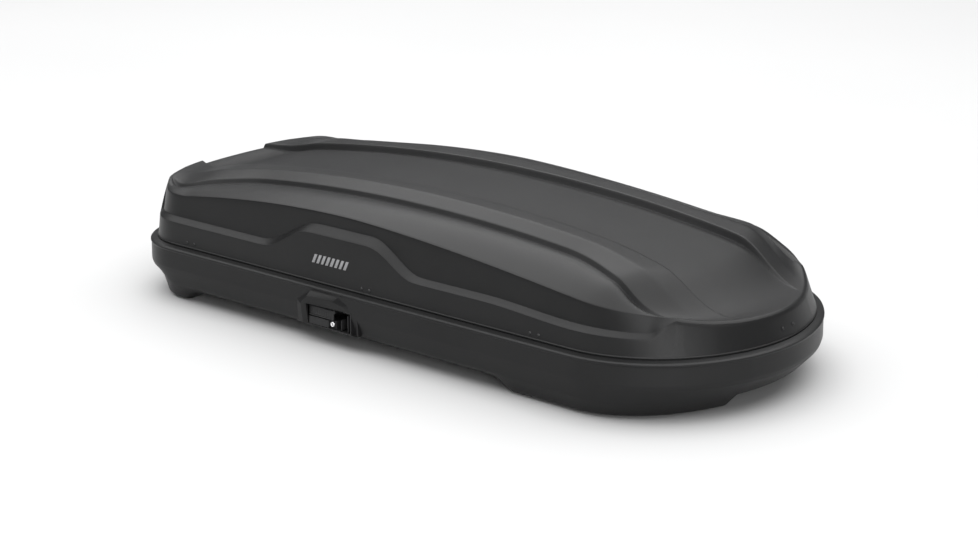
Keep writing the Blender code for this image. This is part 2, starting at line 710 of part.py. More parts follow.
def make_handle_housing(name, side, materials):
    """A box let into the tray's side, open outwards, with a lug for the pin and a block for the lock."""
    mesh = side_box(name, HOUSING_X, (HOUSING_BACK_Y, HOUSING_FACE_Y), HOUSING_Z, side)
    middle = (sum(HOUSING_X) / 2, side * HOUSING_FACE_Y, sum(HOUSING_Z) / 2)
    obj = add_object(name, mesh, materials["plastic"], middle)
    wall = HOUSING_WALL
    xs = (HOUSING_X[0] + wall, HOUSING_X[1] - wall)
    zs = (HOUSING_Z[0] + wall, HOUSING_Z[1] - wall)
    boolean(obj, side_box("recess", xs, (HOUSING_BACK_Y + wall, HOUSING_FACE_Y + 0.01), zs, side))
    slot_x = (LATCH_TAB_X[0] - 0.002, LATCH_TAB_X[1] + LATCH_TRAVEL + 0.002)
    slot_y = (LATCH_Y[0] - 0.0015, LATCH_Y[1] + 0.0015)
    boolean(obj, side_box("tab_slot", slot_x, slot_y, (HOUSING_Z[1] - 0.01, HOUSING_Z[1] + 0.01), side))
    lug_x = (HANDLE_X[1] + 0.0006, HANDLE_X[1] + 0.0046)
    lug_y = (HANDLE_AXIS[0] - 0.004, HANDLE_AXIS[0] + 0.004)
    lug_z = (HANDLE_AXIS[1] - 0.005, HOUSING_Z[1] - 0.001)
    boolean(obj, side_box("lug", lug_x, lug_y, lug_z, side), "UNION")
    block_z = (HOUSING_Z[0] + 0.001, LOCK_Z + 0.0105)
    block_x, block_y = (LOCK_X - 0.012, LOCK_X + 0.012), (HOUSING_BACK_Y + 0.001, 0.4405)
    block = side_box("block", block_x, block_y, block_z, side)
    boolean(obj, block, "UNION")
    start, end = (LOCK_X, side * 0.4080, LOCK_Z), (LOCK_X, side * 0.46, LOCK_Z)
    boolean(obj, rod_mesh("bore", start, end, LOCK_R + GAP, 24))
    pin_start = (HOUSING_X[0] + 0.001, side * HANDLE_AXIS[0], HANDLE_AXIS[1])
    pin_end = (lug_x[1] + 0.01, side * HANDLE_AXIS[0], HANDLE_AXIS[1])
    return boolean(obj, rod_mesh("pin_hole", pin_start, pin_end, PIN_R + GAP, 12))


def make_handle_pin(name, side, materials):
    ends = (HOUSING_X[0] + 0.0015, HANDLE_X[1] + 0.0046)
    axis = (side * HANDLE_AXIS[0], HANDLE_AXIS[1])
    mesh = rod_mesh(name, (ends[0], *axis), (ends[1], *axis), PIN_R, 12)
    return add_object(name, mesh, materials["steel"], (sum(ends) / 2, *axis))


def make_handle(name, side, materials):
    """A pull lever hinged at its top, with an arm inwards to the latch bar's tab."""
    y, z = HANDLE_AXIS
    outline = arc((y, z), 0.0042, 0, 180, 8)
    outline += [(y - 0.0042, z - HANDLE_DROP + 0.004), (y - 0.0022, z - HANDLE_DROP)]
    outline += [(y + 0.0030, z - HANDLE_DROP), (y + 0.0046, z - HANDLE_DROP + 0.004)]
    mesh = prism_mesh(name, mirror_outline(outline, side), 0, HANDLE_X[0], HANDLE_X[1])
    obj = add_object(name, mesh, materials["plastic"], (sum(HANDLE_X) / 2, side * y, z))
    arm = side_box("arm", LATCH_TAB_X, (LATCH_Y[1] + 0.003, y - 0.003), (z - 0.004, z + 0.001), side)
    boolean(obj, arm, "UNION")
    start, end = (HANDLE_X[0] - 0.01, side * y, z), (HANDLE_X[1] + 0.01, side * y, z)
    return boolean(obj, rod_mesh("pin_bore", start, end, PIN_R + GAP, 12))


def make_lock_cylinder(name, side, materials):
    start, end = (LOCK_X, side * 0.4085, LOCK_Z), (LOCK_X, side * 0.4430, LOCK_Z)
    mesh = rod_mesh(name, start, end, LOCK_R, 24)
    obj = add_object(name, mesh, materials["chrome"], end)
    keyway_x = (LOCK_X - 0.0010, LOCK_X + 0.0010)
    keyway_z = (LOCK_Z - 0.0042, LOCK_Z + 0.0042)
    return boolean(obj, side_box("keyway", keyway_x, (0.4380, 0.4500), keyway_z, side))


# ---------------------------------------------------------------- clamps


def make_clamp_carriage(name, x, side, materials):
    """A channel on the rail, with two cheeks that carry the lever's axle."""
    inner = CLAW_WIDTH / 2 + 0.0015
    outer = inner + CHEEK_THICK
    foot, base_top, top = RAIL_Z[1] + GAP, RAIL_Z[1] + 0.0040, LEVER_Z + 0.009
    outline = [(-outer, foot), (outer, foot), (outer, top), (inner, top)]
    outline += [(inner, base_top), (-inner, base_top), (-inner, top), (-outer, top)]
    y = side * CLAMP_Y
    outline = [(y + across, z) for across, z in outline]
    mesh = prism_mesh(name, outline, 0, x - 0.022, x + 0.022)
    obj = add_object(name, mesh, materials["plastic"], (x, y, foot))
    start, end = (x, y - outer - 0.01, LEVER_Z), (x, y + outer + 0.01, LEVER_Z)
    return boolean(obj, rod_mesh("axle_hole", start, end, 0.004 + GAP, 16))


def make_clamp_lever(name, x, side, materials):
    """A hand lever whose hub turns on an axle between the cheeks."""
    outline = arc((x, LEVER_Z), LEVER_R, 35, 325, 14)
    outline += [(x + 0.085, LEVER_Z - 0.0030), (x + 0.092, LEVER_Z + 0.0010), (x + 0.085, LEVER_Z + 0.0055)]
    y = side * CLAMP_Y
    half = CLAW_WIDTH / 2
    mesh = prism_mesh(name, outline, 1, y - half, y + half)
    obj = add_object(name, mesh, materials["plastic"], (x, y, LEVER_Z))
    reach = half + 0.0015 + CHEEK_THICK
    axle = rod_mesh("axle", (x, y - reach, LEVER_Z), (x, y + reach, LEVER_Z), 0.004, 16)
    return boolean(obj, axle, "UNION")


def make_clamp_claw(name, x, side, materials):
    """A hook with two legs that reach down through the floor, round a crossbar."""
    inner, outer = CLAW_LEG_X
    foot, top = CLAW_Z
    right = [(inner - 0.010, foot), (outer, foot), (outer, top)]
    hook = [(inner, top - 0.007), (inner, foot + 0.006), (inner - 0.010, foot + 0.006)]
    outline = [(x + a, z) for a, z in right]
    outline += [(x - a, z) for a, z in reversed(right)]
    outline += [(x - a, z) for a, z in reversed(hook)]
    outline += [(x + a, z) for a, z in hook]
    y = side * CLAMP_Y
    mesh = prism_mesh(name, outline, 1, y - CLAW_WIDTH / 2, y + CLAW_WIDTH / 2)
    return add_object(name, mesh, materials["steel"], (x, y, top))


# ---------------------------------------------------------------- lid fittings


def make_lid_stiffener(name, side, materials):
    """A hat-shaped rib under the middle panel, following its curve."""
    stations = [-0.55 + 1.05 * k / 12 for k in range(13)]
    section = [(0.058, 0), (0.098, 0), (0.098, -0.0025), (0.089, -0.0025), (0.085, -0.014)]
    section += [(0.071, -0.014), (0.067, -0.0025), (0.058, -0.0025)]
    bm = bmesh.new()
    rings = []
    for x in stations:
        top = crest_z(x) - PANEL_STEP - SHEET - 0.0015
        rings.append([bm.verts.new((x, side * y, top + z)) for y, z in section])
    for before, after in zip(rings, rings[1:]):
        for k in range(len(section)):
            n = (k + 1) % len(section)
            bm.faces.new((before[k], before[n], after[n], after[k]))
    bm.faces.new(rings[0])
    bm.faces.new(rings[-1])
    origin = (0, side * 0.078, ROOF_PEAK_Z - PANEL_STEP)
    return add_object(name, mesh_from(bm, name), materials["steel"], origin)


def make_badge(name, side, materials):
    """A blank plate on the lid's side."""
    low_z, high_z = BADGE_Z
    low_y, high_y = (wall_y(sum(BADGE_X) / 2, z) + 0.0006 for z in BADGE_Z)
    outline = [(low_y, low_z), (low_y + 0.0015, low_z), (high_y + 0.0015, high_z), (high_y, high_z)]
    mesh = prism_mesh(name, mirror_outline(outline, side), 0, *BADGE_X)
    place = (sum(BADGE_X) / 2, side * low_y, (low_z + high_z) / 2)
    return add_object(name, mesh, materials["badge"], place)


# ---------------------------------------------------------------- the box, piece by piece

clear_scene()
PARTS = new_collection("roof_cargo_box")
CUTTERS = new_collection("cutters")
CUTTERS.hide_render = True
materials = make_materials()

make_tray(materials)
make_rim_seal(materials)
make_lid(materials)
make_nose_guide(materials)
make_nose_rivets(materials)
for side_name, side in (("right", -1), ("left", 1)):
    make_floor_rail(f"floor_rail_{side_name}", side, materials)
    make_lid_stiffener(f"lid_stiffener_{side_name}", side, materials)
    make_badge(f"badge_{side_name}", side, materials)
    make_hinge_rod(f"hinge_rod_{side_name}", side, materials)
    make_latch_bar(f"latch_bar_{side_name}", side, materials)
    make_handle_housing(f"handle_housing_{side_name}", side, materials)
    make_handle_pin(f"handle_pin_{side_name}", side, materials)
    make_handle(f"handle_{side_name}", side, materials)
    make_lock_cylinder(f"lock_cylinder_{side_name}", side, materials)
    for place, x in BRACKET_X.items():
        make_latch_clip(f"latch_clip_{place}_{side_name}", x, side, materials)
        make_lid_bracket(f"lid_bracket_{place}_{side_name}", x, side, materials)
        make_rivet_pair(f"rivet_pair_{place}_{side_name}", x, side, materials)
    for place, x in CLAMP_X.items():
        make_clamp_carriage(f"clamp_carriage_{place}_{side_name}", x, side, materials)
        make_clamp_lever(f"clamp_lever_{place}_{side_name}", x, side, materials)
        make_clamp_claw(f"clamp_claw_{place}_{side_name}", x, side, materials)
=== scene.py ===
"""The looks of a roof cargo box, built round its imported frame. Metres; +X is the nose, +Y the left side, +Z up."""

import math

import bmesh
import bpy
from mathutils import Matrix, Vector
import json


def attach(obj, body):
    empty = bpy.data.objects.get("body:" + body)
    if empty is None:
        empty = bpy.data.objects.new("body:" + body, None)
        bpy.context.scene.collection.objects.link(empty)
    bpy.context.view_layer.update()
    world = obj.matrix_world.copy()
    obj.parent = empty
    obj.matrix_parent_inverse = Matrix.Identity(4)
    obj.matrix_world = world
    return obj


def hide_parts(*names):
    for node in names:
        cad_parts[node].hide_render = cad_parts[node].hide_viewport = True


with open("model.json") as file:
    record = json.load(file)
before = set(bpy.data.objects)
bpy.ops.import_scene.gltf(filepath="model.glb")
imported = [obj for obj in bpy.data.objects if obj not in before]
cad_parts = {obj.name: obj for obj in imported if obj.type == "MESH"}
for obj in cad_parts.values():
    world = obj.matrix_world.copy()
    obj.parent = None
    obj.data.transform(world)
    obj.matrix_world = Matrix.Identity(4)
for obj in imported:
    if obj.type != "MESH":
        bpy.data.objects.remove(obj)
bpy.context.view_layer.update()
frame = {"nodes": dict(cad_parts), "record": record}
NODES = frame["nodes"]

IMAGE_WIDTH = 978
FOCAL_PIXELS = 2131.09
CAMERA_AT = (3.6305, -4.4116, 1.9431)
CAMERA_YAW = math.radians(129.228)
CAMERA_PITCH = math.radians(17.591)
FLOOR_REACH = 30

# The CAD's own sizes, which the shells here follow with finer stations
LENGTH, WIDTH, RIM_Z = 2.06, 0.894, 0.165
SHEET, GAP = 0.004, 0.0003
REAR_CAP, FRONT_CAP = 0.239, 0.390
REAR_CAP_POWER, FRONT_CAP_POWER = 2.4, 1.95
SIDE_REAR_X = -LENGTH / 2 + REAR_CAP
SIDE_FRONT_X = LENGTH / 2 - FRONT_CAP
REAR_CORNER, FRONT_CORNER = math.radians(50), math.radians(49)
FOOT_INSET = 0.020
ROOF_INSET = (0.046, 0.046, 0.046, 0.030)
FOOT_Z = RIM_Z - 0.006
ROOF_PEAK_Z = RIM_Z + 0.250
SHOULDER_PEAK_Z = RIM_Z + 0.1993
NOSE_EDGE_Z = RIM_Z + 0.0755
REAR_EDGE_Z = RIM_Z + 0.167
BRACKET_X = (-0.725, -0.049, 0.523)
RIVET_PITCH, RIVET_Z = 0.028, RIM_Z + 0.0205
NOSE_RIVET_Y, NOSE_RIVET_Z = 0.024, RIM_Z + 0.0325
SIDES = (("right", -1), ("left", 1))
HOUSING_X, HOUSING_Z = (-0.246, -0.084), (RIM_Z - 0.112, RIM_Z - 0.049)

# Roof lines: share of the half width, of the rear arc, of the front arc, height over the crest, and how far the
# height has gone over to the shoulder's, then the rounding of the edge along the line. POD_CROWN is how far the
# strip beside the shoulder bulges
POD_CROWN = 0.006
ROOF_LINES = (
    (0.0, 0.0, 0.0, -0.020, 0.0, 0.0),
    (0.184, 0.14, 0.20, -0.020, 0.0, 0.0),
    (0.378, 0.29, 0.438, -0.020, 0.0, 0.0018),
    (0.404, 0.31, 0.453, 0.0, 0.0, 0.0025),
    (0.542, 0.60, 0.68, 0.001, 0.0, 0.008),
    (0.660, 0.90, 0.94, -0.016, 0.0, 0.0018),
    (0.680, 0.94, 0.965, -0.030, 0.0, 0.0018),
    (1.0, 1.0, 1.0, 0.0, 1.0, 0.0045),
)


def smooth_step(value, low, high):
    share = min(max((value - low) / (high - low), 0.0), 1.0)
    return share * share * (3 - 2 * share)


# ---------------------------------------------------------------- materials


class Finish:
    """A procedural material: a Principled shader with its colour, roughness and bump from noise."""

    def __init__(self, name, colour, roughness, metallic=0.0, specular=0.5):
        self.material = bpy.data.materials.new(name)
        self.material.use_nodes = True
        self.nodes = self.material.node_tree.nodes
        self.links = self.material.node_tree.links
        self.shader = self.nodes["Principled BSDF"]
        self.place = self.nodes.new("ShaderNodeTexCoord").outputs["Object"]
        self.shader.inputs["Base Color"].default_value = (*colour, 1)
        self.shader.inputs["Roughness"].default_value = roughness
        self.shader.inputs["Metallic"].default_value = metallic
        self.shader.inputs["Specular IOR Level"].default_value = specular
        self.height = None

    def scaled(self, stretch):
        node = self.nodes.new("ShaderNodeMapping")
        node.inputs["Scale"].default_value = stretch
        self.links.new(self.place, node.inputs["Vector"])
        return node.outputs["Vector"]

    def noise(self, scale, detail=3.0, stretch=None, rough=0.5):
        node = self.nodes.new("ShaderNodeTexNoise")
        node.inputs["Scale"].default_value = scale
        node.inputs["Detail"].default_value = detail
        node.inputs["Roughness"].default_value = rough
        self.links.new(self.scaled(stretch) if stretch else self.place, node.inputs["Vector"])
        return node.outputs["Fac"]

    def cells(self, scale):
        node = self.nodes.new("ShaderNodeTexVoronoi")
        node.feature = "DISTANCE_TO_EDGE"
        node.inputs["Scale"].default_value = scale
        self.links.new(self.place, node.inputs["Vector"])
        return node.outputs["Distance"]

    def mapped(self, value, low, high, to_low, to_high):
        node = self.nodes.new("ShaderNodeMapRange")
        for name, number in (("From Min", low), ("From Max", high), ("To Min", to_low), ("To Max", to_high)):
            node.inputs[name].default_value = number
        self.links.new(value, node.inputs["Value"])
        return node.outputs["Result"]

    def colours(self, value, low, dark, high, light):
        node = self.nodes.new("ShaderNodeValToRGB")
        node.color_ramp.elements[0].position = low
        node.color_ramp.elements[0].color = (*dark, 1)
        node.color_ramp.elements[1].position = high
        node.color_ramp.elements[1].color = (*light, 1)
        self.links.new(value, node.inputs["Fac"])
        self.links.new(node.outputs["Color"], self.shader.inputs["Base Color"])

    def roughness(self, value, to_low, to_high, low=0.3, high=0.7):
        self.links.new(self.mapped(value, low, high, to_low, to_high), self.shader.inputs["Roughness"])

    def bump(self, value, distance, strength=1.0):
        node = self.nodes.new("ShaderNodeBump")
        node.inputs["Distance"].default_value = distance
        node.inputs["Strength"].default_value = strength
        self.links.new(value, node.inputs["Height"])
        if self.height:
            self.links.new(self.height, node.inputs["Normal"])
        self.height = node.outputs["Normal"]
        self.links.new(self.height, self.shader.inputs["Normal"])
        return self


def shell_finish():
    """Satin black ABS sheet with the fine leather grain of thermoformed boxes."""
    made = Finish("shell_plastic", (0.011, 0.011, 0.0112), 0.40, specular=0.24)
    made.colours(made.noise(7, 5), 0.3, (0.0085, 0.0085, 0.0087), 0.7, (0.0110, 0.0110, 0.0112))
    made.roughness(made.noise(420, 3), 0.36, 0.46)
    made.bump(made.mapped(made.cells(520), 0.0, 0.22, 0.0, 1.0), 0.00006, 0.55)
    return made.bump(made.noise(900, 2), 0.00005, 0.5).material


def moulded_finish():
    """Injection-moulded black plastic, a little rougher than the shell."""
    made = Finish("matte_plastic", (0.012, 0.012, 0.0125), 0.5, specular=0.4)
    made.colours(made.noise(30, 4), 0.3, (0.010, 0.010, 0.0105), 0.7, (0.015, 0.015, 0.0155))
    made.roughness(made.noise(300, 3), 0.42, 0.58)
    return made.bump(made.noise(1600, 2), 0.00005, 0.6).material


def rubber_finish():
    made = Finish("seal_rubber", (0.006, 0.006, 0.006), 0.8, specular=0.25)
    made.colours(made.noise(60, 3), 0.3, (0.005, 0.005, 0.005), 0.7, (0.009, 0.009, 0.009))
    made.roughness(made.noise(200, 2), 0.72, 0.88)
    return made.bump(made.noise(700, 3), 0.00008, 0.5).material


def steel_finish():
    """Zinc-plated steel strip: blue-grey, brushed lengthwise, with faint spangle."""
    made = Finish("zinc_steel", (0.55, 0.56, 0.57), 0.35, metallic=1.0)
    made.colours(made.noise(45, 5), 0.3, (0.42, 0.43, 0.45), 0.72, (0.60, 0.61, 0.62))
    made.roughness(made.noise(90, 4, (0.06, 1, 1)), 0.28, 0.46)
    return made.bump(made.noise(900, 2, (0.03, 1, 1)), 0.00004, 0.5).material


def chrome_finish():
    made = Finish("lock_chrome", (0.80, 0.80, 0.81), 0.12, metallic=1.0)
    made.roughness(made.noise(500, 3), 0.08, 0.20)
    return made.bump(made.noise(1500, 2), 0.00002, 0.4).material


def badge_finish():
    made = Finish("badge_grey", (0.26, 0.26, 0.265), 0.4)
    made.colours(made.noise(90, 3), 0.3, (0.24, 0.24, 0.245), 0.7, (0.29, 0.29, 0.295))
    made.roughness(made.noise(400, 2), 0.34, 0.46)
    return made.bump(made.noise(1800, 2), 0.00003, 0.4).material


FINISHES = {
    "shell_plastic": shell_finish(),
    "matte_plastic": moulded_finish(),
    "seal_rubber": rubber_finish(),
    "zinc_steel": steel_finish(),
    "lock_chrome": chrome_finish(),
    "badge_grey": badge_finish(),
}


# ---------------------------------------------------------------- mesh helpers


def new_piece(name, bm, slot, body, replaces=(), smooth=35):
    """Turns a bmesh into a finished piece that rides on a body."""
    mesh = bpy.data.meshes.new(name)
    bm.to_mesh(mesh)
    bm.free()
    obj = bpy.data.objects.new(name, mesh)
    bpy.context.scene.collection.objects.link(obj)
    mesh.materials.append(FINISHES[slot])
    shade(obj, smooth)
    if replaces:
        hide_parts(*replaces)
    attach(obj, body)
    return obj


def shade(obj, angle):
    obj.data.shade_smooth()
    obj.data.set_sharp_from_angle(angle=math.radians(angle))


def baked(obj, angle):
    """Applies an object's modifiers to its mesh."""
    depsgraph = bpy.context.evaluated_depsgraph_get()
    mesh = bpy.data.meshes.new_from_object(obj.evaluated_get(depsgraph))
    obj.modifiers.clear()
    obj.data = mesh
    shade(obj, angle)
    return obj


def cylinder(bm, start, end, radius, segments=32, end_radius=None):
    start, end = Vector(start), Vector(end)
    turn = Vector((0, 0, 1)).rotation_difference(end - start).to_matrix().to_4x4()
    made = bmesh.ops.create_cone(
        bm,
        cap_ends=True,
        segments=segments,
        radius1=radius,
        radius2=radius if end_radius is None else end_radius,
        depth=(end - start).length,
        matrix=Matrix.Translation((start + end) / 2) @ turn,
    )
    return made["verts"]


def block(bm, low, high, bevel=0.0, segments=3):
    """A box with rounded edges."""
    size = [high[i] - low[i] for i in range(3)]
    middle = [(high[i] + low[i]) / 2 for i in range(3)]
    matrix = Matrix.Translation(middle) @ Matrix.Diagonal((*size, 1))
    made = bmesh.ops.create_cube(bm, size=1.0, matrix=matrix)
    if bevel:
        edges = list({edge for vert in made["verts"] for edge in vert.link_edges})
        bmesh.ops.bevel(bm, geom=edges, offset=bevel, segments=segments, affect="EDGES", profile=0.5)
    return made["verts"]


def side_block(bm, xs, ys, zs, side, bevel=0.0, segments=3):
    """A rounded box on one side of the object; ys is measured from the middle plane."""
    low = (xs[0], min(side * ys[0], side * ys[1]), zs[0])
    high = (xs[1], max(side * ys[0], side * ys[1]), zs[1])
    return block(bm, low, high, bevel, segments)


def join_loops(bm, loops):
    """Joins each loop of vertices to the next one, and closes both ends."""
    for below, above in zip(loops, loops[1:]):
        for k in range(len(below)):
            after = (k + 1) % len(below)
            bm.faces.new((below[k], below[after], above[after], above[k]))
    bm.faces.new(loops[0])
    bm.faces.new(loops[-1])


def cut(piece, cutter_bm):
    """Takes a cutter's shape out of a piece."""
    mesh = bpy.data.meshes.new("cutter")
    cutter_bm.to_mesh(mesh)
    cutter_bm.free()
    cutter = bpy.data.objects.new("cutter", mesh)
    bpy.context.scene.collection.objects.link(cutter)
    boolean = piece.modifiers.new("cut", "BOOLEAN")
    boolean.operation, boolean.solver, boolean.object = "DIFFERENCE", "EXACT", cutter
    baked(piece, 40)
    bpy.data.objects.remove(cutter)


def round_edges(piece, width, segments, angle):
    """Rounds the edges that turn by more than an angle."""
    bevel = piece.modifiers.new("round", "BEVEL")
    bevel.limit_method, bevel.angle_limit = "ANGLE", math.radians(angle)
    bevel.width, bevel.segments = width, segments


# ---------------------------------------------------------------- plan outline


def four(inset):
    return inset if isinstance(inset, tuple) else (inset, inset, inset, 0.0)


def mix(low, high, share):
    return tuple(a + (b - a) * share for a, b in zip(four(low), four(high)))


def cap_point(front, angle, inset):
    side, rear, nose, corner = four(inset)
    keep = 1 - corner * math.sin(2 * angle) ** 2
    power = 2 / (FRONT_CAP_POWER if front else REAR_CAP_POWER)
    reach = (FRONT_CAP - nose if front else REAR_CAP - rear) * keep * max(math.cos(angle), 0.0) ** power
    y = -(WIDTH / 2 - side) * keep * max(math.sin(angle), 0.0) ** power
    return (SIDE_FRONT_X + reach, y) if front else (SIDE_REAR_X - reach, y)


# Stations along a side: round the rear corner, along the straight, to the band's tip, and past it
REAR_ARC, SIDE_COUNT, TO_TIP, PAST_TIP = 10, 64, 12, 6
TIP_ANGLE = math.radians(58.3)


def side_stations():
    rear_step = (math.pi / 2 - REAR_CORNER) / REAR_ARC
    stations = [lambda inset, a=REAR_CORNER + rear_step * k: cap_point(False, a, inset) for k in range(REAR_ARC)]
    for k in range(SIDE_COUNT + 1):
        x = SIDE_REAR_X + (SIDE_FRONT_X - SIDE_REAR_X) * k / SIDE_COUNT
        stations.append(lambda inset, x=x: (x, -(WIDTH / 2 - four(inset)[0])))
    angles = [math.pi / 2 + (TIP_ANGLE - math.pi / 2) * k / TO_TIP for k in range(1, TO_TIP + 1)]
    angles += [TIP_ANGLE + (FRONT_CORNER - TIP_ANGLE) * k / PAST_TIP for k in range(1, PAST_TIP + 1)]
    return stations + [lambda inset, a=a: cap_point(True, a, inset) for a in angles]


SIDE = side_stations()


def band_rise():
    """How far the pod's band has climbed to the roof's edge, at each station of a side."""
    tip = len(SIDE) - 1 - PAST_TIP
    return [min(1.0, max(0.0, (k - tip) / PAST_TIP, 1 - k / 2)) for k in range(len(SIDE))]


def wall_lean():
    """How far the wall has gone over from a side's upright to an end's lean, at each station of a side."""
    first = len(SIDE) - 1 - TO_TIP - PAST_TIP
    return [smooth_step(k, first, len(SIDE) - 1) + 1 - smooth_step(k, 0, REAR_ARC) for k in range(len(SIDE))]


RISES = band_rise()
LEANS = wall_lean()


def end_station(front, share):
    corner = FRONT_CORNER if front else REAR_CORNER
    return lambda inset: cap_point(front, corner * share, inset)


def mirrored(station):
    return lambda inset: (station(inset)[0], -station(inset)[1])


def blend_line(before, after, share):
    return tuple(a + (b - a) * share for a, b in zip(before, after))


def finer(lines, longest=0.06):
    """Puts lines close beside each named one, which keep its rounding tight, and fills wide strips between them."""
    half = WIDTH / 2 - ROOF_INSET[0]
    made = []
    for before, after in zip(lines, lines[1:]):
        span = after[0] - before[0]
        start, end = before[5] / half / span, 1 - after[5] / half / span
        count = max(1, round((end - start) * span / longest))
        shares = [0.0] + ([start] if start else []) + [start + (end - start) * k / count for k in range(1, count)]
        shares += [end] if end < 1 else []
        for share in shares:
            line = blend_line(before, after, share)
            crown = 4 * share * (1 - share) * (POD_CROWN if after[4] else 0.0)
            made.append((*line[:3], line[3] + crown, line[4], 0.0))
    return made + [lines[-1]]


def outline_loop(lines):
    front = [end_station(True, line[2]) for line in reversed(lines[:-1])]
    front += [mirrored(station) for station in reversed(front[:-1])]
    rear = [end_station(False, line[1]) for line in reversed(lines[:-1])]
    rear += [mirrored(station) for station in reversed(rear[:-1])]
    return SIDE + front + [mirrored(station) for station in reversed(SIDE)] + list(reversed(rear))


def whole_outline(values, lines):
    """Values of one side's stations, mirrored to the other side, with one at every station of the ends."""
    ends = [1.0] * (2 * len(lines) - 3)
    return values + ends + list(reversed(values)) + ends


# ---------------------------------------------------------------- sheet shells


def patch_grid(bm, lines, inset, height):
    """A grid over the plan, from the right edge to the left one, following the outline at its ends."""
    side = [station(inset) for station in SIDE]
    columns = len(side) - 1
    half_width = WIDTH / 2 - four(inset)[0]
    rows = []
    for sign, line in [(-1, line) for line in reversed(lines)] + [(1, line) for line in lines[1:]]:
        share = line[0]
        rear, front = end_station(False, line[1])(inset), end_station(True, line[2])(inset)
        row = []
        for k, (x, y) in enumerate(side):
            go = (x - side[0][0]) / (side[-1][0] - side[0][0])
            place = (x, y)
            if share < 1:
                bulge = go**4 * (front[0] - side[-1][0]) + (1 - go) ** 6 * (rear[0] - side[0][0])
                place_y = -share * half_width * min(1.0, abs(y) / half_width)
                place_y += smooth_step(go, 0.8, 1.0) * (front[1] + share * abs(side[-1][1]))
                place_y += (1 - smooth_step(go, 0.0, 0.2)) * (rear[1] + share * abs(side[0][1]))
                place = rear if k == 0 else front if k == columns else (x + bulge, place_y)
            row.append(bm.verts.new((place[0], -sign * place[1], height(line, place[0], go))))
        rows.append(row)
    for below, above in zip(rows, rows[1:]):
        for k in range(columns):
            bm.faces.new((below[k], below[k + 1], above[k + 1], above[k]))
    return rows


def rim_of(rows):
    front = [row[-1] for row in rows[1:-1]]
    rear = [row[0] for row in reversed(rows[1:-1])]
    return rows[0] + front + list(reversed(rows[-1])) + rear


def column(points, widths):
    """Puts a point on each side of every corner of a column, so that subdivision rounds it by its width."""
    made = []
    for k, (point, width) in enumerate(zip(points, widths)):
        for other, order in ((k - 1, 0), (k, 1), (k + 1, 2)):
            if order == 1:
                made.append(point)
            elif 0 <= other < len(points) and width:
                reach = points[other] - point
                made.append(point + reach * min(width / max(reach.length, 1e-6), 0.4))
    return made


def add_wall(bm, loop, stations, corners, widths):
    """Hangs a wall from a loop: corners gives each station's inset and height, ring by ring."""
    columns = []
    for k, station in enumerate(stations):
        points = [loop[k].co.copy()]
        for at in corners:
            inset, z = at(k, station)
            points.append(Vector((*station(inset), z)))
        columns.append(column(points, [width[k] if isinstance(width, list) else width for width in widths]))
    rings = [loop] + [[bm.verts.new(points[j]) for points in columns] for j in range(1, len(columns[0]))]
    for above, below in zip(rings, rings[1:]):
        for k in range(len(loop)):
            after = (k + 1) % len(loop)
            bm.faces.new((above[k], above[after], below[after], below[k]))
    return rings[-1]


def shell_piece(name, bm, body):
    """Rounds a shell by subdivision and thickens it inwards, as modifiers which are baked afterwards."""
    bmesh.ops.recalc_face_normals(bm, faces=bm.faces)
    middle = sum((face.calc_center_median() for face in bm.faces), Vector()) / len(bm.faces)
    out = sum((face.normal.dot(face.calc_center_median() - middle) * face.calc_area() for face in bm.faces))
    if out < 0:
        bmesh.ops.reverse_faces(bm, faces=bm.faces)
    piece = new_piece(name, bm, "shell_plastic", body, (name.removesuffix("_skin"),))
    rounding = piece.modifiers.new("rounding", "SUBSURF")
    rounding.levels = rounding.render_levels = 1
    sheet = piece.modifiers.new("sheet", "SOLIDIFY")
    sheet.thickness = SHEET
    sheet.offset = -1
    sheet.use_even_offset = True
    return piece


# ---------------------------------------------------------------- lid

# The share of the panel's step that lasts to the rear edge, and how full the wall is between roof and foot
PANEL_REAR_STEP, WALL_FULLNESS = 0.6, 0.55
BAND_TOP_INSET, BAND_FOOT_INSET = 0.0395, 0.0215


def crest_z(x):
    ahead, behind = max(x + 0.05, 0.0) / 1.03, max(-x - 0.05, 0.0) / 0.95
    return ROOF_PEAK_Z - 0.095 * ahead**2 - 0.078 * ahead**7 - 0.096 * behind**2


def shoulder_z(x):
    ahead, behind = max(x + 0.15, 0.0) / 1.04, min(max(-x - 0.15, 0.0) / 0.75, 0.83)
    return SHOULDER_PEAK_Z - 0.1055 * ahead**1.5 - 0.075 * behind**2 + 0.019 * smooth_step(-x, 0.86, 0.925)


NOSE_CORNER_Z = shoulder_z(cap_point(True, FRONT_CORNER, ROOF_INSET)[0])
REAR_CORNER_Z = shoulder_z(cap_point(False, REAR_CORNER, ROOF_INSET)[0])


def roof_height(line, x, go):
    """Height of a roof line; its rise or fall from the crest lasts nearly to the ends."""
    if line[4] == 1:
        return shoulder_z(x)
    groove = line[0] > ROOF_LINES[4][0]
    crest = crest_z(x)
    nose_z = NOSE_EDGE_Z + (NOSE_CORNER_Z - NOSE_EDGE_Z) * line[2] ** 3
    rear_z = REAR_EDGE_Z + (REAR_CORNER_Z - REAR_EDGE_Z) * line[1] ** 16
    to_nose, to_rear = smooth_step(go, 0.90, 1.0), 1 - smooth_step(go, 0.0, 0.10)
    base = crest + to_nose * (nose_z - crest) + to_rear * (rear_z - crest)
    step = line[3] * (1 - smooth_step(go, 0.925 if groove else 0.90, 1.0))
    step *= 1 - (1 - PANEL_REAR_STEP * (not groove)) * (1 - smooth_step(go, 0.0, 0.05))
    over = base + step
    return over + line[4] * (shoulder_z(x) - over)


def band_bump(x, rise_from, rise_to, fall_from, fall_to):
    return smooth_step(x, rise_from, rise_to) - smooth_step(x, fall_from, fall_to)


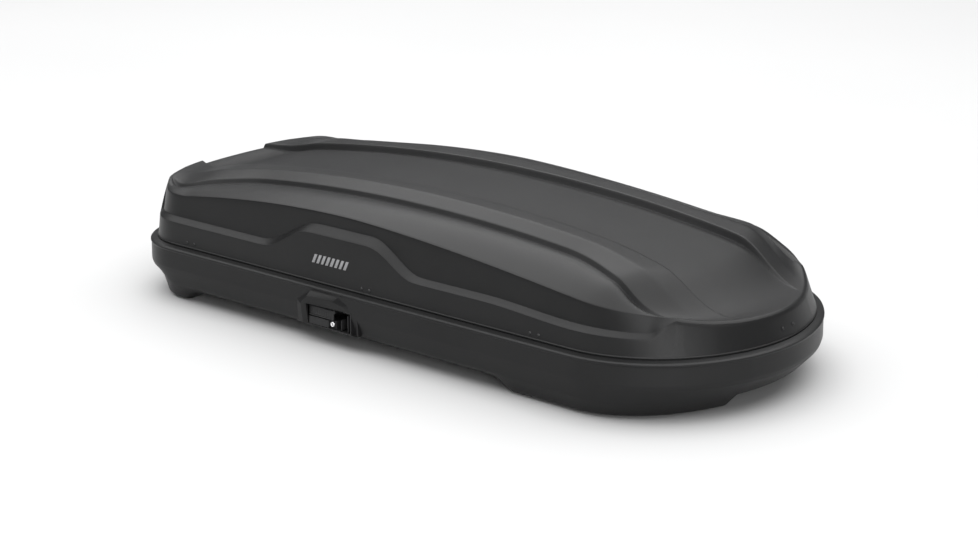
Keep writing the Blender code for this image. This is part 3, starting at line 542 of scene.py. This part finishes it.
def band_drop(x):
    return 0.015 * smooth_step(x, 0.35, 0.65) + 0.004 * smooth_step(x, 0.65, 0.83)


def band_top_z(x):
    return RIM_Z + 0.0848 - band_drop(x) + 0.080 * band_bump(x, -0.447, -0.237, -0.037, 0.133)


def band_foot_z(x):
    return RIM_Z + 0.0720 - band_drop(x) + 0.070 * band_bump(x, -0.432, -0.262, -0.037, 0.118)


def band_top_inset(x):
    return BAND_TOP_INSET + 0.0050 * band_bump(x, -0.447, -0.237, -0.037, 0.133)


def lid_skin():
    bm = bmesh.new()
    lines = finer(ROOF_LINES)
    loop = rim_of(patch_grid(bm, lines, ROOF_INSET, roof_height))
    edge_z = [vert.co.z for vert in loop]
    stations, rises, leans = outline_loop(lines), whole_outline(RISES, lines), whole_outline(LEANS, lines)

    def straight(k, z):
        share = (edge_z[k] - z) / (edge_z[k] - FOOT_Z)
        return mix(ROOF_INSET, FOOT_INSET, max(share, 0.0) ** WALL_FULLNESS)

    def band(height, inset, below, shares):
        def at(k, station):
            x = station(0)[0]
            z = height(x)
            z += (edge_z[k] - below - z) * rises[k]
            return mix(inset(x), straight(k, z), shares[k]), z

        return at

    corners = (
        band(band_top_z, band_top_inset, 0.005, [smooth_step(rise, 0.0, 1.0) for rise in rises]),
        band(band_foot_z, lambda x: BAND_FOOT_INSET, 0.012, leans),
        lambda k, station: (FOOT_INSET + 0.0008, RIM_Z + 0.0100),
        lambda k, station: (FOOT_INSET - 0.0013, RIM_Z + 0.0080),
        lambda k, station: (FOOT_INSET - 0.0013, RIM_Z + 0.0058),
        lambda k, station: (FOOT_INSET, RIM_Z + 0.0050),
        lambda k, station: (FOOT_INSET, FOOT_Z),
    )
    add_wall(bm, loop, stations, corners, (0.0040, 0.0020, 0.0020, 0.0010, 0.0006, 0.0006, 0.0004, 0.0))
    return shell_piece("lid_shell_skin", bm, "lid")


# ---------------------------------------------------------------- tray

FLOOR_INSET = (0.058, 0.080, 0.125, 0.045)
BILGE_INSET = (0.034, 0.066, 0.085, 0.0)
BEND_INSET = (0.011, 0.060, 0.045, 0.0)
LIP_INSET, LIP_RISE = 0.0182, 0.0035
SKIRT_FOOT_Z = RIM_Z - 0.066
FLOOR_Z = 0.028
FRONT_WELL, REAR_WELL = (0.385, 0.435), (-0.735, -0.765)
CHANNEL = (0.13 / 0.397, 0.17 / 0.397)
TRAY_LINES = (
    (0.0, 0.0, 0.0, 0, 0.0, 0.0),
    (0.17, 0.14, 0.20, 0, 0.0, 0.0),
    (CHANNEL[0], 0.29, 0.438, 0, 0.0, 0.006),
    (CHANNEL[1], 0.31, 0.453, 1, 0.0, 0.006),
    (0.6, 0.6, 0.68, 1, 0.0, 0.0),
    (0.78, 0.9, 0.94, 1, 0.0, 0.0),
    (0.9, 0.94, 0.965, 1, 0.0, 0.0),
    (1.0, 1.0, 1.0, 1, 0.0, 0.0),
)


def floor_height(line, x, go):
    deep = line[3]
    deep *= smooth_step(x, *FRONT_WELL) if x > 0 else smooth_step(-x, -REAR_WELL[0], -REAR_WELL[1])
    return FLOOR_Z * (1 - deep)


def bend_z(x):
    return RIM_Z - 0.109 + 0.029 * smooth_step(-x, 0.80, 0.93) - 0.006 * smooth_step(x, 0.50, 0.80)


def tray_skin():
    bm = bmesh.new()
    lines = finer(TRAY_LINES, 0.09)
    loop = rim_of(patch_grid(bm, lines, FLOOR_INSET, floor_height))
    floor_z = [vert.co.z for vert in loop]
    corners = (
        (lambda k, station: (BILGE_INSET, floor_z[k] + 0.010), 0.006),
        (lambda k, station: (BEND_INSET, bend_z(station(0)[0])), 0.008),
        (lambda k, station: ((0.0015, 0.004, 0.003, 0.0), SKIRT_FOOT_Z - 0.006), 0.004),
        (lambda k, station: (-0.0010, SKIRT_FOOT_Z + 0.006), 0.004),
        (lambda k, station: (0.0, RIM_Z - 0.0100), 0.0015),
        (lambda k, station: (-0.0022, RIM_Z - 0.0070), 0.0012),
        (lambda k, station: (-0.0022, RIM_Z - 0.0030), 0.0015),
        (lambda k, station: (0.0030, RIM_Z), 0.0015),
        (lambda k, station: (LIP_INSET, RIM_Z + LIP_RISE), 0.0),
    )
    add_wall(bm, loop, outline_loop(lines), [at for at, width in corners], [0.006] + [width for at, width in corners])
    return shell_piece("base_tray_skin", bm, "tray")


CLAMP_X, CLAMP_Y, CLAW_LEG_X, CLAW_WIDTH = (-0.42, 0.25), 0.27, (0.042, 0.049), 0.020


def open_tray(piece):
    """Cuts the handle openings in the tray's sides and the claws' slots in its floor."""
    bm = bmesh.new()
    for word, side in SIDES:
        xs, zs = (HOUSING_X[0] + 0.0015, HOUSING_X[1] - 0.0015), (HOUSING_Z[0] + 0.0015, HOUSING_Z[1] - 0.0010)
        side_block(bm, xs, (0.3800, 0.4600), zs, side)
        for x in CLAMP_X:
            for leg in (-1, 1):
                middle, half = x + leg * sum(CLAW_LEG_X) / 2, (CLAW_LEG_X[1] - CLAW_LEG_X[0]) / 2 + 0.001
                ys = (CLAMP_Y - CLAW_WIDTH / 2 - 0.001, CLAMP_Y + CLAW_WIDTH / 2 + 0.001)
                side_block(bm, (middle - half, middle + half), ys, (0.010, 0.060), side)
    cut(piece, bm)


# ---------------------------------------------------------------- details

HANDLE_X, HANDLE_AXIS, HANDLE_DROP = (-0.2405, -0.1500), (0.4420, RIM_Z - 0.0590), 0.0240
LOCK_X, LOCK_Z, LOCK_R = -0.157, RIM_Z - 0.0965, 0.0072
BADGE_X, BADGE_Z = (-0.242, -0.110), (RIM_Z + 0.060, RIM_Z + 0.085)
BADGE_BARS, BADGE_LEAN = 8, 0.0120
BEZEL_Y, BEZEL_RADII = (0.4360, 0.4425), (LOCK_R + 0.0036, LOCK_R + 0.0024)
BARREL_SEGMENTS, HEAD_SEGMENTS = 40, 20
# The key barrel from its back to the dish in its face: distance from the middle plane, and radius
BARREL_PROFILE = ((0.4085, LOCK_R), (0.4436, LOCK_R), (0.4442, LOCK_R - 0.0006), (0.4442, 0.0052), (0.4436, 0.0046))
KEYWAY_X, KEYWAY_Z = 0.0009, 0.0036
# The ribs at the recess's sloping end: place along, then top and bottom below the rim
RIBS = ((-0.128, -0.078, -0.106), (-0.104, -0.060, -0.107))
# A rivet head's rings as shares of its height: the first two are the washer's
HEAD_RINGS, WASHER_REACH = (-0.25, 0.12, 0.12, 0.45, 0.75, 0.93), 1.25
SIDE_WALL_Y = WIDTH / 2 - FOOT_INSET - 0.0009
NOSE_WALL_X = LENGTH / 2 - 0.0278

# Outline of the raised surround of a handle, on the tray's wall and on its proud face: along, and below the rim
SURROUND_FOOT = (
    (-0.287, -0.050), (-0.234, -0.0135), (-0.132, -0.0135), (-0.096, -0.030), (-0.062, -0.056),
    (-0.060, -0.112), (-0.120, -0.1125), (-0.284, -0.112),
)  # fmt: skip
SURROUND_FACE = (
    (-0.262, -0.054), (-0.236, -0.0265), (-0.146, -0.0275), (-0.112, -0.036), (-0.079, -0.054),
    (-0.078, -0.1100), (-0.120, -0.1110), (-0.262, -0.1110),
)  # fmt: skip
SURROUND_ROOT_Y, SURROUND_LOW_Y, SURROUND_PROUD, SURROUND_FADE = 0.4405, 0.4480, 0.0130, 0.0085


def surround_y(x, z):
    """The surround's face leans out towards its top and dies into the wall towards the nose."""
    return SURROUND_LOW_Y + SURROUND_PROUD * (z + 0.112) / 0.0855 - SURROUND_FADE * max(x + 0.236, -0.03) / 0.124


def handle_surround(side, word):
    """A raised frame round the handle's recess, with a wide bevel above it."""
    bm = bmesh.new()
    rings = (
        (SURROUND_FOOT, lambda x, z: SURROUND_ROOT_Y - 0.012),
        (SURROUND_FOOT, lambda x, z: SURROUND_LOW_Y - 0.0012),
        (SURROUND_FACE, surround_y),
    )
    loops = [[bm.verts.new((x, side * y(x, z), RIM_Z + z)) for x, z in outline] for outline, y in rings]
    join_loops(bm, loops)
    bmesh.ops.recalc_face_normals(bm, faces=bm.faces)
    piece = new_piece("handle_surround_" + word, bm, "shell_plastic", "tray")
    cutter = bmesh.new()
    xs, zs = (HOUSING_X[0] + 0.003, -0.087), (RIM_Z - 0.1085, RIM_Z - 0.0500)
    side_block(cutter, xs, (SURROUND_ROOT_Y - 0.02, SURROUND_ROOT_Y + 0.05), zs, side)
    cut(piece, cutter)
    round_edges(piece, 0.0012, 3, 8)
    return baked(piece, 40)


def recess_trim(side, word):
    """The sloping end of the recess with its ribs, the sill below the handle, and the bezel of the lock."""
    bm = bmesh.new()
    y = SURROUND_LOW_Y + 0.0010
    for x, top, bottom in RIBS:
        outline = ((x - 0.012, y - 0.040), (x + 0.004, y - 0.004), (x + 0.007, y - 0.004), (x + 0.007, y - 0.040))
        join_loops(bm, [[bm.verts.new((px, side * py, RIM_Z + z)) for px, py in outline] for z in (bottom, top)])
    side_block(bm, (-0.2425, -0.168), (0.4300, y - 0.001), (RIM_Z - 0.1085, RIM_Z - 0.0865), side, 0.0016)
    start, end = ((LOCK_X, side * at, LOCK_Z) for at in BEZEL_Y)
    cylinder(bm, start, end, BEZEL_RADII[0], BARREL_SEGMENTS, BEZEL_RADII[1])
    bmesh.ops.recalc_face_normals(bm, faces=bm.faces)
    piece = new_piece("recess_trim_" + word, bm, "matte_plastic", "tray")
    bore = bmesh.new()
    start, end = ((LOCK_X, side * at, LOCK_Z) for at in (0.40, 0.47))
    cylinder(bore, start, end, LOCK_R + GAP, BARREL_SEGMENTS)
    cut(piece, bore)
    round_edges(piece, 0.0007, 2, 40)
    return baked(piece, 40)


def pull_handle(side, word):
    """The pull lever: a barrel on the pin, a rounded plate with a rolled finger edge, and the latch's arm."""
    bm = bmesh.new()
    y, z = HANDLE_AXIS
    cylinder(bm, (HANDLE_X[0], side * y, z), (HANDLE_X[1], side * y, z), 0.0042, 32)
    side_block(bm, HANDLE_X, (y + 0.0004, y + 0.0042), (z - HANDLE_DROP + 0.001, z), side, 0.0012)
    low = z - HANDLE_DROP + 0.0022
    side_block(bm, HANDLE_X, (y - 0.0018, y + 0.0058), (z - HANDLE_DROP - 0.0006, low + 0.0012), side, 0.0016, 4)
    for k in range(9):
        x = HANDLE_X[0] + 0.012 + 0.0085 * k
        side_block(bm, (x, x + 0.0016), (y + 0.0030, y + 0.0048), (low + 0.004, z - 0.005), side, 0.0006, 2)
    side_block(bm, (-0.200, -0.190), (0.3968, y - 0.003), (z - 0.004, z + 0.001), side, 0.0008, 2)
    return new_piece("pull_" + word, bm, "matte_plastic", "handle_" + word, ("handle_" + word,), 40)


def lock_barrel(side, word):
    """The key barrel: a chamfered chrome plug with a keyway."""
    bm = bmesh.new()
    turns = [2 * math.pi * k / BARREL_SEGMENTS for k in range(BARREL_SEGMENTS)]
    loops = []
    for y, radius in BARREL_PROFILE:
        loops.append([
            bm.verts.new((LOCK_X + radius * math.cos(turn), side * y, LOCK_Z + radius * math.sin(turn)))
            for turn in turns
        ])
    join_loops(bm, loops)
    bmesh.ops.recalc_face_normals(bm, faces=bm.faces)
    piece = new_piece("lock_" + word, bm, "lock_chrome", "lock_cylinder_" + word, ("lock_cylinder_" + word,), 40)
    keyway = bmesh.new()
    xs, zs = (LOCK_X - KEYWAY_X, LOCK_X + KEYWAY_X), (LOCK_Z - KEYWAY_Z, LOCK_Z + KEYWAY_Z)
    side_block(keyway, xs, (0.4380, 0.4500), zs, side)
    cut(piece, keyway)
    return piece


def dome(bm, at, out, radius, height):
    """A domed rivet head with a thin washer under it; out is the way that it points."""
    turn = Vector((0, 0, 1)).rotation_difference(Vector(out)).to_matrix().to_4x4()
    place = Matrix.Translation(at) @ turn
    turns = [2 * math.pi * k / HEAD_SEGMENTS for k in range(HEAD_SEGMENTS)]
    loops = []
    for share in HEAD_RINGS:
        reach = radius * (WASHER_REACH if len(loops) < 2 else math.sqrt(1 - share * share))
        loops.append([
            bm.verts.new(place @ Vector((reach * math.cos(a), reach * math.sin(a), share * height))) for a in turns
        ])
    join_loops(bm, loops)


def rivet_heads(side, word):
    bm = bmesh.new()
    for x in BRACKET_X:
        for shift in (-RIVET_PITCH / 2, RIVET_PITCH / 2):
            dome(bm, (x + shift, side * SIDE_WALL_Y, RIVET_Z), (0, side, 0), 0.0036, 0.0022)
    bmesh.ops.recalc_face_normals(bm, faces=bm.faces)
    return new_piece("rivet_heads_" + word, bm, "matte_plastic", "lid", smooth=40)


def nose_rivet_heads():
    bm = bmesh.new()
    for y in (-NOSE_RIVET_Y, NOSE_RIVET_Y):
        dome(bm, (NOSE_WALL_X, y, NOSE_RIVET_Z), (1, 0, 0.28), 0.0042, 0.0024)
    bmesh.ops.recalc_face_normals(bm, faces=bm.faces)
    return new_piece("nose_rivet_heads", bm, "matte_plastic", "lid", smooth=40)


def badge(side, word):
    """A generic badge: a row of equal slanted bars, raised from the wall."""
    bm = bmesh.new()
    pitch = (BADGE_X[1] - BADGE_X[0]) / BADGE_BARS
    for k in range(BADGE_BARS):
        x = BADGE_X[0] + pitch * (k + 0.2)
        verts = side_block(bm, (x, x + pitch * 0.56), (SIDE_WALL_Y - 0.0022, SIDE_WALL_Y + 0.0016), BADGE_Z, side)
        for vert in verts:
            vert.co.x -= side * BADGE_LEAN * ((vert.co.z - BADGE_Z[0]) / (BADGE_Z[1] - BADGE_Z[0]) - 0.5)
    piece = new_piece("badge_bars_" + word, bm, "badge_grey", "lid", ("badge_" + word,))
    round_edges(piece, 0.0006, 2, 40)
    return baked(piece, 40)


# ---------------------------------------------------------------- stage


def camera():
    data = bpy.data.cameras.new("camera")
    data.sensor_width = 36
    data.lens = FOCAL_PIXELS * data.sensor_width / IMAGE_WIDTH
    data.clip_end = 100
    obj = bpy.data.objects.new("camera", data)
    bpy.context.scene.collection.objects.link(obj)
    aim = Vector((math.cos(CAMERA_YAW), math.sin(CAMERA_YAW), -math.tan(CAMERA_PITCH)))
    obj.location = CAMERA_AT
    obj.rotation_euler = aim.to_track_quat("-Z", "Y").to_euler()
    bpy.context.scene.camera = obj


def floor():
    bm = bmesh.new()
    bmesh.ops.create_grid(bm, x_segments=1, y_segments=1, size=FLOOR_REACH)
    mesh = bpy.data.meshes.new("floor")
    bm.to_mesh(mesh)
    bm.free()
    obj = bpy.data.objects.new("floor", mesh)
    bpy.context.scene.collection.objects.link(obj)
    made = Finish("studio_floor", (0.51, 0.51, 0.51), 0.9, specular=0.1)
    made.colours(made.noise(0.7, 2), 0.3, (0.505, 0.505, 0.505), 0.7, (0.515, 0.515, 0.515))
    mesh.materials.append(made.material)


def soft_light(name, at, aim, size, power):
    data = bpy.data.lights.new(name, "AREA")
    data.shape = "RECTANGLE"
    data.size, data.size_y = size
    data.energy = power
    obj = bpy.data.objects.new(name, data)
    bpy.context.scene.collection.objects.link(obj)
    obj.location = at
    obj.rotation_euler = (Vector(aim) - Vector(at)).to_track_quat("-Z", "Y").to_euler()


def stage():
    floor()
    soft_light("ceiling", (-1.5, 1.0, 7.0), (-1.5, 1.0, 0), (16, 16), 2400)
    soft_light("front_right", (5.6, -4.4, 1.9), (0.9, -0.2, 0.2), (5, 3), 240)
    world = bpy.data.worlds.new("studio")
    world.use_nodes = True
    world.node_tree.nodes["Background"].inputs["Color"].default_value = (0.9, 0.92, 0.95, 1)
    world.node_tree.nodes["Background"].inputs["Strength"].default_value = 0.16
    bpy.context.scene.world = world
    bpy.context.scene.view_settings.view_transform = "Standard"


camera()
stage()
lid = baked(lid_skin(), 30)
tray = baked(tray_skin(), 30)
open_tray(tray)
for word, side in SIDES:
    handle_surround(side, word)
    recess_trim(side, word)
    pull_handle(side, word)
    lock_barrel(side, word)
    rivet_heads(side, word)
    badge(side, word)
nose_rivet_heads()

slots = {part["node"]: part["material_slot"] for part in frame["record"]["subparts"]}
for name, node in NODES.items():
    node.data.materials.clear()
    node.data.materials.append(FINISHES[slots[name]])
